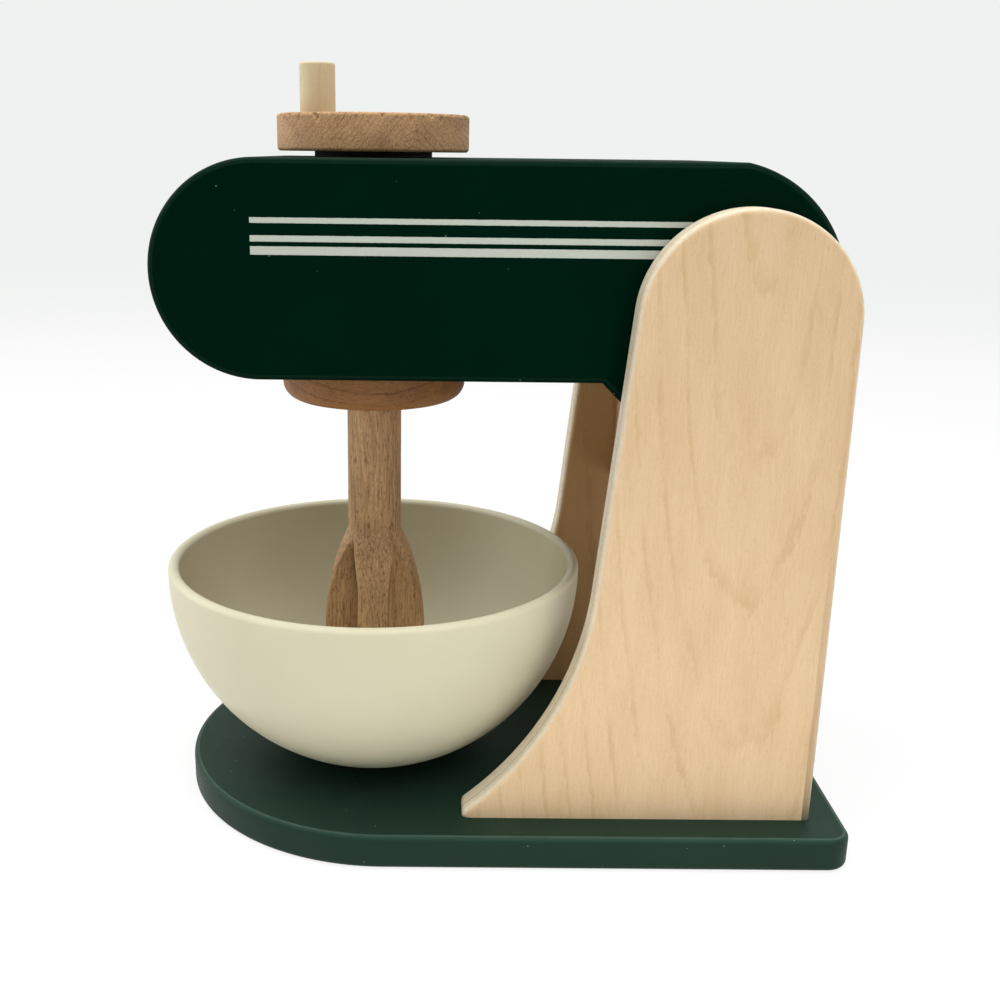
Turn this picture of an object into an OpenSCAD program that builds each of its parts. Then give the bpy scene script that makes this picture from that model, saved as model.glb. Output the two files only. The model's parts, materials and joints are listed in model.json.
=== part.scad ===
// Toy stand mixer in painted board, veneered board and beech.
// The head tilts on a dowel between two side panels, a disc with a handle turns the beater,
// and the bowl stands loose on the base board.
// The origin is on the mixing axis at floor level: +X runs to the rear, +Z up.

/* [Base board] */
// Distance from the mixing axis to the front of the base board
base_front = 69.6; // [60:0.2:90]
// Thickness of the base board
base_t = 12; // [8:0.5:20]
// Width of the base board left free outside each side panel
base_ledge = 13; // [6:0.5:25]
// Length of the base board left free behind the side panels
base_rear_ledge = 11.5; // [6:0.5:30]
// Radius of the base board's two rear corners
base_corner_r = 8; // [4:0.5:20]
// Radius of the rounded-over edges of the painted and veneered boards
edge_r = 2; // [1:0.25:3]

/* [Side panels] */
// Clear distance between the two side panels
panel_gap = 101; // [90:1:130]
// Thickness of a side panel
panel_t = 12; // [10:0.5:18]
// Radius of a side panel's round top
panel_r = 34.4; // [30:0.2:42]
// Distance that the centre of the round top lies behind the tilt pivot
panel_back = 9.6; // [4:0.2:16]
// Distance that the centre of the round top lies below the tilt pivot
panel_drop = 5.6; // [0:0.2:12]
// Lean of the straight part of a side panel's front edge, in degrees
panel_lean = 5.5; // [0:0.5:10]
// Height above the base board where the front edge begins to sweep forward
sweep_h = 80; // [60:1:100]
// Radius of the forward sweep
sweep_r = 114; // [105:1:200]
// Radius of the blunt toe
toe_r = 3.2; // [3.1:0.1:6]
// Height of the upright front of the toe, below its round
toe_h = 0.5; // [0.3:0.1:2]

/* [Head] */
// Distance from the mixing axis to the front of the head
head_front = 68.4; // [50:0.2:80]
// Height of the head
head_h = 68.5; // [62:0.5:80]
// Distance that the head's underside lies below the tilt pivot
head_drop = 27; // [22:0.5:30]
// Thickness of the head's two outer boards
cheek_t = 12; // [8:0.5:18]
// Angle round the pivot at which the rear arc of the head meets its top, in degrees
shoulder_angle = 78.2; // [65:0.2:85]
// Distance that the flat heel stands proud of the head's rear arc
heel_proud = 0.4; // [0.3:0.1:1]

/* [Tilt pivot] */
// Distance from the mixing axis back to the tilt pivot
pivot_x = 108.2; // [100:0.2:130]
// Height of the tilt pivot above the base board
pivot_h = 175.6; // [165:0.2:200]
// Diameter of the pivot dowel
pivot_d = 12; // [8:0.5:16]
// Depth of the pivot dowel's seat in each side panel
pivot_seat = 8; // [5:0.5:9]
// Diameter of the pivot washers
pivot_washer_d = 26; // [20:1:40]
// Room between the head and each side panel, filled by a washer
side_gap = 1.5; // [1:0.25:3]

/* [Crank] */
// Diameter of the crank disc
disc_d = 65; // [55:1:90]
// Thickness of the crank disc
disc_t = 12; // [11:0.5:18]
// Radius of the crank disc's edges
disc_edge_r = 1.2; // [0.5:0.1:3]
// Diameter of the handle dowel
handle_d = 12; // [8:0.5:16]
// Height of the handle above the disc
handle_h = 16.4; // [12:0.2:40]
// Distance from the mixing axis to the handle's axis
handle_reach = 18.8; // [16:0.2:20]
// Depth of the handle's seat in the disc
handle_seat = 8; // [5:0.5:9]
// Radius of the handle's two ends
handle_edge_r = 0.8; // [0.4:0.1:2]
// Diameter of the washer under the disc
crank_washer_d = 40; // [20:1:50]
// Thickness of the washer under the disc
crank_washer_t = 1.8; // [1:0.1:4]
// Diameter of the spindle
spindle_d = 12; // [8:0.5:14]
// Depth of the spindle's seat in the disc
spindle_seat = 9; // [5:0.5:10]

/* [Beater] */
// Diameter of the collar under the head
collar_d = 65; // [50:1:80]
// Height of the collar
collar_h = 13.5; // [12:0.5:22]
// Radius of the collar's lower edge
collar_edge_r = 6; // [3:0.5:10]
// Diameter of the beater's shaft
shaft_d = 19.5; // [17:0.5:24]
// Depth of the spindle's socket in the beater's shaft
spindle_socket = 20; // [12:1:26]
// Largest diameter over the vanes
beater_d = 37.6; // [34:0.2:48]
// Height of the straight part of the vanes
vane_h = 9.5; // [5:0.5:20]
// Radius of the long curve from the vanes in to the shaft
flare_r = 94; // [60:1:120]
// Thickness of each vane
vane_t = 11; // [7:0.5:12]
// Distance below the top of the flare where the grooves between the vanes end
groove_end = 2.5; // [1:0.5:5]
// Height over which each groove gets shallower towards its end
groove_run = 18; // [10:1:30]
// Room between the beater and the floor of the bowl
beater_clear = 12; // [8:0.5:18]

/* [Bowl] */
// Outer diameter of the bowl
bowl_d = 152; // [140:1:160]
// Thickness of the bowl's wall
bowl_wall = 4; // [3:0.25:6]
// Thickness of the bowl's floor
bowl_floor = 4.5; // [3:0.25:6]
// Diameter of the flat that the bowl stands on
bowl_foot_d = 54; // [40:1:70]
// Height of the upright lip above the round of the bowl
bowl_lip = 3.3; // [2.5:0.1:10]

/* [Fixings] */
// Thickness of the cross rail
rail_t = 12; // [10:0.5:16]
// Height of the cross rail
rail_h = 40; // [32:1:60]
// Distance from the pivot forward to the rear face of the cross rail
rail_setback = 0.5; // [0.2:0.1:1]
// Diameter of the rail dowels
rail_dowel_d = 8; // [6:0.5:8]
// Depth of the rail dowels in each side panel
rail_dowel_seat = 8; // [5:0.5:9]
// Depth of the rail dowels in the cross rail
rail_dowel_grip = 16; // [10:1:24]
// Distance from the rail's upper and lower edge to its dowels
rail_dowel_inset = 10; // [8:0.5:12]
// Diameter of the panel screws
screw_d = 4; // [3:0.5:5]
// Diameter of the screws' countersunk heads
screw_head_d = 8; // [7:0.5:9]
// Length of the screws in the side panels
screw_grip = 24; // [15:1:35]
// Distance from a side panel's toe to its front screw
screw_toe_inset = 40; // [30:1:50]
// Distance from a side panel's rear edge to its rear screw
screw_rear_inset = 20; // [12:1:30]

/* [Fits] */
// Radial clearance of the turning dowels in their bores
run_clear = 0.08; // [0.03:0.01:0.1]
// Room under the head for the collar to turn
turn_gap = 0.6; // [0.3:0.1:1]
// Radial clearance of washers and screw shanks
loose_clear = 0.2; // [0.1:0.05:0.4]

/* [Hidden] */
$fn = 96;
// Overrun of a cut past the face that it opens
cut = 1;
// Steps in a rounded-over board edge
edge_steps = 3;
// Angle of one step along a board's outline
outline_step = 6;

head_w = panel_gap - 2 * side_gap;
core_w = head_w - 2 * cheek_t;
base_w = panel_gap + 2 * panel_t + 2 * base_ledge;
panel_mid_y = panel_gap / 2 + panel_t / 2;

pivot_z = base_t + pivot_h;
panel_x = pivot_x + panel_back;
panel_z = pivot_z - panel_drop;
panel_rear = panel_x + panel_r;
base_rear = panel_rear + base_rear_ledge;

head_low = pivot_z - head_drop;
head_top = head_low + head_h;
hub_r = (head_top - pivot_z) / sin(shoulder_angle);
heel_z = pivot_z - hub_r - heel_proud;

disc_low = head_top + crank_washer_t;
disc_top = disc_low + disc_t;
collar_top = head_low - turn_gap;
collar_low = collar_top - collar_h;

bowl_r = bowl_d / 2;
bowl_centre_z = base_t + sqrt(pow(bowl_r, 2) - pow(bowl_foot_d / 2, 2));
bowl_rim_z = bowl_centre_z + bowl_lip;
bowl_floor_z = base_t + bowl_floor;

belly_r = beater_d / 2;
belly_z = bowl_floor_z + beater_clear + belly_r;
flare_low = belly_z + vane_h;
flare_h = sqrt(pow(flare_r, 2) - pow(flare_r - belly_r + shaft_d / 2, 2));
flare_top = flare_low + flare_h;
groove_top = flare_top - groove_end;
groove_top_r = belly_r - flare_r + sqrt(pow(flare_r, 2) - pow(flare_h - groove_end, 2));

lean_dir = [-cos(panel_lean), sin(panel_lean)];
sweep_z = base_t + sweep_h;
front_top = [panel_x, panel_z] + panel_r * lean_dir;
sweep_start = [front_top.x - (front_top.y - sweep_z) * tan(panel_lean), sweep_z];
sweep_centre = sweep_start + sweep_r * lean_dir;
toe_turn = -asin((sweep_centre.y - base_t - toe_h) / (sweep_r + toe_r));
toe_centre = sweep_centre + (sweep_r + toe_r) * [cos(toe_turn), sin(toe_turn)];
toe_x = toe_centre.x - toe_r;
foot_low = base_t - 2 * edge_r;

rail_rear = pivot_x - rail_setback;
rail_mid_x = rail_rear - rail_t / 2;
rail_dowel_z = [heel_z - rail_dowel_inset, heel_z - rail_h + rail_dowel_inset];
screw_x = [toe_x + screw_toe_inset, panel_rear - screw_rear_inset];
screw_head_h = (screw_head_d - screw_d) / 2;

green = "#1d3a2c";
maple = "#e0c59c";
beech = "#b98a5e";
birch = "#d9c39a";
cream = "#d8d2b6";
steel = "#9a9a96";
felt = "#2b2b2a";

// Points along an arc, both ends included
function arc(centre, r, from, to) =
    let (n = max(2, ceil(abs(to - from) / outline_step)))
    [for (i = [0:n]) let (a = from + (to - from) * i / n) centre + r * [cos(a), sin(a)]];

function unit(v) = v / norm(v);

// A counter-clockwise outline moved inward by d, with mitred corners
function inset(points, d) =
    let (n = len(points))
    [for (i = [0:n - 1])
        let (
            before = unit(points[i] - points[(i + n - 1) % n]),
            after = unit(points[(i + 1) % n] - points[i]),
            side_a = [-before.y, before.x],
            side_b = [-after.y, after.x]
        )
        points[i] + d * (side_a + side_b) / (1 + side_a * side_b)];

// Inset and height of each ring of a board whose lower and upper edges are rounded over
function edge_rings(t, low_r, high_r) = concat(
    low_r == 0 ? [[0, 0]] :
        [for (i = [0:edge_steps]) let (a = 90 * i / edge_steps) low_r * [1 - sin(a), 1 - cos(a)]],
    high_r == 0 ? [[0, t]] :
        [for (i = [0:edge_steps]) let (a = 90 * i / edge_steps)
            [high_r * (1 - cos(a)), t - high_r * (1 - sin(a))]]);

// Board of thickness t over a counter-clockwise outline, lofted through its edge rings.
// Its two faces are filled as fans, so the outline starts at a point that sees all the others.
module board(outline, t, low_r = 0, high_r = 0) {
    rings = edge_rings(t, low_r, high_r);
    n = len(outline);
    last = len(rings) - 1;
    points = [for (ring = rings) each [for (p = inset(outline, ring[0])) [p.x, p.y, ring[1]]]];
    walls = [for (k = [0:last - 1], i = [0:n - 1])
        [k * n + i, (k + 1) * n + i, (k + 1) * n + (i + 1) % n, k * n + (i + 1) % n]];
    floor_face = [for (i = [0:n - 1]) i];
    top_face = [for (i = [0:n - 1]) last * n + (n - i) % n];
    polyhedron(points, concat([floor_face], walls, [top_face]));
}

// Turns a board drawn in X and Z upright, with its lower face at -Y distance y
module upright(y) {
    rotate([90, 0, 0]) translate([0, 0, y]) children();
}

function base_outline() = concat(
    arc([base_w / 2 - base_front, 0], base_w / 2, 90, 270),
    arc([base_rear - base_corner_r, base_corner_r - base_w / 2], base_corner_r, 270, 360),
    arc([base_rear - base_corner_r, base_w / 2 - base_corner_r], base_corner_r, 0, 90));

// The outline runs on below the base board's top, so that the foot can be cut square through its round edges
function panel_outline() =
    let (toe = arc(toe_centre, toe_r, 180 + toe_turn, 180))
    concat(
        [[panel_rear, foot_low]],
        arc([panel_x, panel_z], panel_r, 0, 180 - panel_lean),
        arc(sweep_centre, sweep_r, -panel_lean, toe_turn),
        [for (i = [1:len(toe) - 1]) toe[i]],
        [[toe_x, foot_low]]);

function head_outline() =
    let (
        heel_start = pivot_x - hub_r * sqrt(2) + head_drop,
        heel_end = heel_start + head_low - heel_z,
        heel_turn = acos(hub_r / (hub_r + heel_proud)),
        hub = arc([pivot_x, pivot_z], hub_r, heel_turn - 90, shoulder_angle),
        shoulder = len(hub) - 1
    )
    concat(
        [hub[shoulder]],
        arc([head_h / 2 - head_front, (head_low + head_top) / 2], head_h / 2, 90, 270),
        [[heel_start, head_low], [heel_end, heel_z], [pivot_x, heel_z]],
        [for (i = [0:shoulder - 1]) hub[i]]);

// Base: countersunk from below for the screws that hold the side panels
module base_board() {
    color(green) difference() {
        board(base_outline(), base_t, edge_r, edge_r);
        for (x = screw_x, side = [-1, 1]) translate([x, side * panel_mid_y, 0]) {
            translate([0, 0, -cut]) cylinder(d = screw_d + 2 * loose_clear, h = base_t + 2 * cut);
            screw_head();
            translate([0, 0, -cut]) cylinder(d = screw_head_d, h = cut);
        }
    }
}

// Side panel on the -Y side, rounded over except along its square foot, with blind seats on its inner face
module panel() {
    color(maple) difference() {
        upright(panel_gap / 2) board(panel_outline(), panel_t, edge_r, edge_r);
        translate([toe_x - cut, -panel_gap / 2 - panel_t - cut, foot_low - cut])
            cube([panel_rear - toe_x + 2 * cut, panel_t + 2 * cut, base_t - foot_low + cut]);
        translate([pivot_x, -panel_gap / 2 + cut, pivot_z]) rotate([90, 0, 0])
            cylinder(d = pivot_d, h = pivot_seat + cut);
        for (z = rail_dowel_z) translate([rail_mid_x, -panel_gap / 2 + cut, z]) rotate([90, 0, 0])
            cylinder(d = rail_dowel_d, h = rail_dowel_seat + cut);
        for (x = screw_x) translate([x, -panel_mid_y, base_t - cut])
            cylinder(d = screw_d, h = screw_grip + cut);
    }
}

module right_panel() {
    panel();
}

module left_panel() {
    mirror([0, 1, 0]) panel();
}

// Rail between the panels: the heel of the head comes to rest on it
module cross_rail() {
    color(maple) difference() {
        translate([rail_rear - rail_t, -panel_gap / 2, heel_z - rail_h]) cube([rail_t, panel_gap, rail_h]);
        for (z = rail_dowel_z, side = [-1, 1])
            translate([rail_mid_x, side * (panel_gap / 2 + cut), z]) rotate([side * 90, 0, 0])
                cylinder(d = rail_dowel_d, h = rail_dowel_grip + cut);
    }
}

module rail_dowels() {
    color(birch) for (z = rail_dowel_z, side = [-1, 1])
        translate([rail_mid_x, side * (panel_gap / 2 + rail_dowel_seat), z]) rotate([side * 90, 0, 0])
            cylinder(d = rail_dowel_d, h = rail_dowel_seat + rail_dowel_grip);
}

// Countersunk head, flush with the underside of the base
module screw_head() {
    cylinder(d1 = screw_head_d, d2 = screw_d, h = screw_head_h);
}

module panel_screws() {
    color(steel) for (x = screw_x, side = [-1, 1]) translate([x, side * panel_mid_y, 0]) {
        screw_head();
        cylinder(d = screw_d, h = base_t + screw_grip);
    }
}

module pivot_dowel() {
    length = panel_gap + 2 * pivot_seat;
    color(birch) translate([pivot_x, length / 2, pivot_z]) rotate([90, 0, 0])
        cylinder(d = pivot_d, h = length);
}

module pivot_washers() {
    color(felt) for (side = [-1, 1])
        translate([pivot_x, side * (head_w + side_gap) / 2, pivot_z]) rotate([90, 0, 0]) difference() {
            cylinder(d = pivot_washer_d, h = side_gap, center = true);
            cylinder(d = pivot_d + 2 * loose_clear, h = side_gap + 2 * cut, center = true);
        }
}

// Running bore for the pivot dowel, right across the head
module pivot_bore() {
    translate([pivot_x, 0, pivot_z]) rotate([90, 0, 0])
        cylinder(d = pivot_d + 2 * run_clear, h = head_w + 2 * cut, center = true);
}

// Middle of the head: the nose, the bar and the hub round the pivot in one outline
module head_core() {
    color(green) difference() {
        upright(-core_w / 2) linear_extrude(core_w) polygon(head_outline());
        translate([0, 0, head_low - cut]) cylinder(d = spindle_d + 2 * run_clear, h = head_h + 2 * cut);
        pivot_bore();
    }
}

// Outer board of the head on the -Y side, rounded over on its outer face only
module cheek() {
    color(green) difference() {
        upright(core_w / 2) board(head_outline(), cheek_t, 0, edge_r);
        pivot_bore();
    }
}

module right_cheek() {
    cheek();
}

module left_cheek() {
    mirror([0, 1, 0]) cheek();
}

// Half section of a disc with rounded edges
module disc_section(r, t, low_r, high_r) {
    square([r - max(low_r, high_r), t]);
    translate([0, low_r]) square([r, t - low_r - high_r]);
    square([r - low_r, low_r]);
    translate([0, t - high_r]) square([r - high_r, high_r]);
    translate([r - low_r, low_r]) intersection() {
        circle(low_r);
        translate([0, -low_r]) square(low_r);
    }
    translate([r - high_r, t - high_r]) intersection() {
        circle(high_r);
        square(high_r);
    }
}

// Disc with a blind seat for the spindle below and one for the handle above
module crank_disc() {
    color(beech) difference() {
        translate([0, 0, disc_low]) rotate_extrude()
            disc_section(disc_d / 2, disc_t, disc_edge_r, disc_edge_r);
        translate([0, 0, disc_low - cut]) cylinder(d = spindle_d, h = spindle_seat + cut);
        translate([-handle_reach, 0, disc_top - handle_seat]) cylinder(d = handle_d, h = handle_seat + cut);
    }
}

module crank_handle() {
    color(birch) translate([-handle_reach, 0, disc_top - handle_seat])
        rotate_extrude() disc_section(handle_d / 2, handle_seat + handle_h, handle_edge_r, handle_edge_r);
}

module crank_washer() {
    color(felt) translate([0, 0, head_top]) difference() {
        cylinder(d = crank_washer_d, h = crank_washer_t);
        translate([0, 0, -cut]) cylinder(d = spindle_d + 2 * loose_clear, h = crank_washer_t + 2 * cut);
    }
}

module spindle() {
    low = collar_low - spindle_socket;
    color(birch) translate([0, 0, low]) cylinder(d = spindle_d, h = disc_low + spindle_seat - low);
}

// Turned collar with a full round on its lower edge
module collar() {
    color(beech) translate([0, 0, collar_low]) difference() {
        rotate_extrude() disc_section(collar_d / 2, collar_h, collar_edge_r, disc_edge_r);
        translate([0, 0, -cut]) cylinder(d = spindle_d, h = collar_h + 2 * cut);
    }
}

// Half section of the beater: round end, straight part, long curve and shaft
module beater_section() {
    intersection() {
        translate([0, belly_z]) circle(belly_r);
        translate([0, belly_z - belly_r]) square(belly_r);
    }
    translate([0, belly_z]) square([belly_r, vane_h]);
    intersection() {
        translate([belly_r - flare_r, flare_low]) circle(flare_r, $fn = 360);
        translate([0, flare_low]) square([belly_r, flare_h]);
    }
    translate([0, flare_top]) square([shaft_d / 2, collar_low - flare_top]);
}

// The four grooves that leave the vanes: each gets shallower at its upper end and runs out in a point
module grooves() {
    half = vane_t / 2;
    reach = flare_top - belly_z + beater_d;
    lean = atan((groove_top_r / sqrt(2) - half) / groove_run);
    for (turn = [0:90:270]) rotate(turn) translate([half, half, groove_top - groove_run]) intersection() {
        translate([0, 0, -reach]) cube([beater_d, beater_d, reach + groove_run + groove_end]);
        rotate([0, lean, 0]) translate([0, -reach, -2 * reach]) cube(4 * reach);
        rotate([-lean, 0, 0]) translate([-reach, 0, -2 * reach]) cube(4 * reach);
    }
}

module beater() {
    color(beech) difference() {
        rotate_extrude() beater_section();
        grooves();
        translate([0, 0, collar_low - spindle_socket]) cylinder(d = spindle_d, h = spindle_socket + cut);
    }
}

// Half section of the bowl: part of a round, an upright lip with a rounded rim, and a flat floor inside
module bowl_section() {
    inner_r = bowl_r - bowl_wall;
    rim_round_z = bowl_rim_z - bowl_wall / 2;
    difference() {
        union() {
            intersection() {
                translate([0, bowl_centre_z]) circle(bowl_r, $fn = 180);
                translate([0, base_t]) square([bowl_r, bowl_centre_z - base_t]);
            }
            translate([0, bowl_centre_z]) square([bowl_r, rim_round_z - bowl_centre_z]);
        }
        intersection() {
            translate([0, bowl_centre_z]) circle(inner_r, $fn = 180);
            translate([0, bowl_floor_z]) square([inner_r, bowl_centre_z - bowl_floor_z]);
        }
        translate([0, bowl_centre_z]) square([inner_r, bowl_r]);
    }
    translate([bowl_r - bowl_wall / 2, rim_round_z]) circle(bowl_wall / 2);
}

module bowl() {
    color(cream) rotate_extrude($fn = 180) bowl_section();
}

base_board();
right_panel();
left_panel();
cross_rail();
rail_dowels();
panel_screws();
pivot_dowel();
pivot_washers();
head_core();
right_cheek();
left_cheek();
crank_disc();
crank_handle();
crank_washer();
spindle();
collar();
beater();
bowl();
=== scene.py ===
import json
import math

import bmesh
import bpy
from mathutils import Matrix, Vector, noise


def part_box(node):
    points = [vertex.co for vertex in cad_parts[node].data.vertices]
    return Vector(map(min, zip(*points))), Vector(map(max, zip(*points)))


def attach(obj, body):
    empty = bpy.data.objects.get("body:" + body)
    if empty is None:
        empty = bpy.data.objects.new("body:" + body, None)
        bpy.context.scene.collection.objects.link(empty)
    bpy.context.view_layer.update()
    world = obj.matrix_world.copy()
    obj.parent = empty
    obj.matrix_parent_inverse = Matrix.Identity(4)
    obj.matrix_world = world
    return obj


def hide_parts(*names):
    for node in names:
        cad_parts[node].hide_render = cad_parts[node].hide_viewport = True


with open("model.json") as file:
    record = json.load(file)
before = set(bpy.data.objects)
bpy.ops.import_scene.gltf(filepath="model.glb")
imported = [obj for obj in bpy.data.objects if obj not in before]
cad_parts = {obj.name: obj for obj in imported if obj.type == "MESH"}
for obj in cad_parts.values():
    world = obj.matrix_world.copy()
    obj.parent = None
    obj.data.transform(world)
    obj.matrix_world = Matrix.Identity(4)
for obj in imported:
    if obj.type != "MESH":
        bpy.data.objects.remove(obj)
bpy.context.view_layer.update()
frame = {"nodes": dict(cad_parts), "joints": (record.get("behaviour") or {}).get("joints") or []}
scene = bpy.context.scene
scene.view_settings.view_transform = "Standard"


# Camera
# A lens of normal length stands close to the toy, level with the top of its head, and looks down
# on it nearly square on to the right side panel. It is shifted, as in a cropped picture.
camera_lens = 43.2
camera_place = Vector((0.01968, -0.42719, 0.2315))
camera_yaw = math.radians(0.40)
camera_pitch = math.radians(16.55)
camera_roll = math.radians(0.69)
camera_shift = Vector((0.0643, 0.0072))

camera = bpy.data.objects.new("camera", bpy.data.cameras.new("camera"))
camera.data.lens = camera_lens
camera.data.shift_x, camera.data.shift_y = camera_shift
heading = Matrix.Rotation(-camera_yaw, 4, "Z") @ Matrix.Rotation(math.pi / 2 - camera_pitch, 4, "X")
camera.matrix_world = Matrix.Translation(camera_place) @ heading @ Matrix.Rotation(camera_roll, 4, "Z")
scene.collection.objects.link(camera)
scene.camera = camera


# Floor and light
# A white table fades into a pale room, so no horizon shows. Wide soft lamps hang above the toy and
# stand round it, as in a light tent, and a small narrow one lights its foot from the front.
class Wire:
    """A socket in a node tree: sums on it add Math nodes, and add() puts in any other node."""

    def __init__(self, tree, socket=None):
        self.tree = tree
        self.socket = socket

    def add(self, kind, settings=None, sockets=None, out=0):
        node = self.tree.nodes.new(kind)
        for name, value in (settings or {}).items():
            setattr(node, name, value)
        for key, value in (sockets or {}).items():
            if isinstance(value, Wire):
                self.tree.links.new(value.socket, node.inputs[key])
            else:
                node.inputs[key].default_value = value
        return Wire(self.tree, node.outputs[out] if node.outputs else None)

    def maths(self, operation, *values):
        return self.add("ShaderNodeMath", {"operation": operation}, dict(enumerate(values)))

    def __add__(self, other):
        return self.maths("ADD", self, other)

    def __sub__(self, other):
        return self.maths("SUBTRACT", self, other)

    def __rsub__(self, other):
        return self.maths("SUBTRACT", other, self)

    def __mul__(self, other):
        return self.maths("MULTIPLY", self, other)

    def __truediv__(self, other):
        return self.maths("DIVIDE", self, other)

    def __rtruediv__(self, other):
        return self.maths("DIVIDE", other, self)

    def __abs__(self):
        return self.maths("ABSOLUTE", self)

    __radd__ = __add__
    __rmul__ = __mul__

    def rise(self, low, high):
        """0 below low, 1 above high, and a smooth rise between them."""
        ends = {"Value": self, "From Min": low, "From Max": high}
        return self.add("ShaderNodeMapRange", {"interpolation_type": "SMOOTHSTEP"}, ends)

    def vector(self, operation, *others, out=0):
        values = dict(enumerate((self, *others)))
        return self.add("ShaderNodeVectorMath", {"operation": operation}, values, out)

    def parts(self):
        """The X, Y and Z of a vector."""
        node = self.add("ShaderNodeSeparateXYZ", sockets={0: self}).socket.node
        return [Wire(self.tree, socket) for socket in node.outputs]

    def blend(self, first, second):
        """Mixes two colours, with this value as the share of the second."""
        return self.add("ShaderNodeMix", {"data_type": "RGBA"}, {0: self, 6: first, 7: second}, 2)

    def clouds(self, size, detail=2.0, out=0):
        """Soft noise from 0 to 1 whose patches are about size across."""
        values = {"Vector": self, "Scale": 1 / size, "Detail": detail}
        return self.add("ShaderNodeTexNoise", sockets=values, out=out)


def shade(code, share=1.0):
    """A screen colour such as c8a070 as the light that Blender reckons with, or a share of that light."""
    levels = [int(code[i:i + 2], 16) / 255 for i in (0, 2, 4)]
    lights = [x / 12.92 if x < 0.04045 else ((x + 0.055) / 1.055) ** 2.4 for x in levels]
    return (*(share * light for light in lights), 1.0)


def seen_rays(start):
    """1 for a ray that shows the background: straight from the camera, or by way of gloss or glass."""
    seen = start.add("ShaderNodeLightPath", out="Is Camera Ray")
    for ray in ("Is Glossy Ray", "Is Transmission Ray"):
        seen = seen.maths("MAXIMUM", seen, start.add("ShaderNodeLightPath", out=ray))
    return seen


floor_reach = 12.0
floor_drop = 0.0002
floor_white = 0.9
floor_glow = 0.82
fade_start = 0.45
fade_end = 2.4
room_colour = shade("eff2f0")
room_light = 0.3

floor_mesh = bpy.data.meshes.new("floor")
floor_signs = ((-1, -1), (1, -1), (1, 1), (-1, 1))
floor_corners = [(x * floor_reach, y * floor_reach, -floor_drop) for x, y in floor_signs]
floor_mesh.from_pydata(floor_corners, [], [(0, 1, 2, 3)])
floor = bpy.data.objects.new("floor", floor_mesh)
scene.collection.objects.link(floor)
floor_finish = bpy.data.materials.new("white_table")
floor_finish.use_nodes = True
floor_finish.node_tree.nodes.clear()
table = Wire(floor_finish.node_tree)
seen = seen_rays(table)
distance = table.add("ShaderNodeTexCoord", out="Object").vector("LENGTH", out="Value")
away = distance.rise(fade_start, fade_end)
dull = table.add("ShaderNodeBsdfDiffuse", sockets={"Color": (floor_white, floor_white, floor_white, 1.0)})
distance_colour = away.blend((1.0, 1.0, 1.0, 1.0), room_colour)
glow = table.add("ShaderNodeEmission", sockets={"Color": distance_colour, "Strength": 1.0})
share = seen * (away * (1 - floor_glow) + floor_glow)
lit = table.add("ShaderNodeMixShader", sockets={0: share, 1: dull, 2: glow})
table.add("ShaderNodeOutputMaterial", sockets={"Surface": lit})
floor_mesh.materials.append(floor_finish)

scene.world = bpy.data.worlds.new("room")
scene.world.use_nodes = True
scene.world.node_tree.nodes.clear()
room = Wire(scene.world.node_tree)
seen = seen_rays(room)
backdrop = room.add("ShaderNodeBackground", sockets={"Color": room_colour, "Strength": 1.0})
ambient = room.add("ShaderNodeBackground", sockets={"Color": (1.0, 1.0, 1.0, 1.0), "Strength": room_light})
sky = room.add("ShaderNodeMixShader", sockets={0: seen, 1: ambient, 2: backdrop})
room.add("ShaderNodeOutputWorld", sockets={"Surface": sky})

toy_middle = Vector((0.05, 0.0, 0.1))
toy_foot = Vector((0.08, -0.12, 0.0))
for name, place, aim, power, width, spread in (
    ("lamp_above", Vector((-0.1, -0.05, 1.3)), toy_middle, 22.0, 1.5, 180),
    ("lamp_left", Vector((-1.5, 0.3, 0.7)), toy_middle, 10.5, 1.2, 180),
    ("lamp_right", Vector((1.5, 0.4, 0.8)), toy_middle, 5.0, 1.2, 180),
    ("lamp_front", Vector((0.9, -1.6, 0.4)), toy_middle, 4.2, 1.2, 180),
    ("lamp_foot", Vector((0.2, -0.4, 0.5)), toy_foot, 0.09, 0.2, 40),
):
    lamp = bpy.data.objects.new(name, bpy.data.lights.new(name, "AREA"))
    lamp.data.energy = power
    lamp.data.size = width
    lamp.data.spread = math.radians(spread)
    lamp.location = place
    lamp.rotation_euler = (aim - place).to_track_quat("-Z", "Y").to_euler()
    scene.collection.objects.link(lamp)


# Base board
# A board with a round front end and two small corners at the rear, rounded over all round,
# sprayed dark green and drilled from below for the screws that hold the side panels.
def arc(centre, radius, start, end, steps):
    """Points along an arc, both ends included, with its angles in degrees."""
    angles = [math.radians(start + (end - start) * i / steps) for i in range(steps + 1)]
    return [Vector((centre[0] + radius * math.cos(a), centre[1] + radius * math.sin(a))) for a in angles]


def inset(outline, distance):
    """A counter-clockwise outline moved inwards, with mitred corners."""
    moved = []
    for i, point in enumerate(outline):
        before = (point - outline[i - 1]).normalized().orthogonal()
        after = (outline[(i + 1) % len(outline)] - point).normalized().orthogonal()
        moved.append(point + (before + after) * distance / (1 + before.dot(after)))
    return moved


def finished(name, mesh):
    """Turns a mesh under construction into a piece of the scene."""
    data = bpy.data.meshes.new(name)
    mesh.to_mesh(data)
    mesh.free()
    piece = bpy.data.objects.new(name, data)
    scene.collection.objects.link(piece)
    return piece


round_over_steps = 6
flat_start = 1.5


def round_over(radius, level, inward):
    """Insets and depths of the rings from a board's flat face, over its rounded edge, to its wall."""
    if not radius:
        return [(0.0, level)]
    turns = [math.pi / 2 * i / round_over_steps for i in range(round_over_steps + 1)]
    rings = [(radius * (1 - math.sin(a)), level + inward * radius * (1 - math.cos(a))) for a in turns]
    return [(radius * flat_start, level)] + rings


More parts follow.
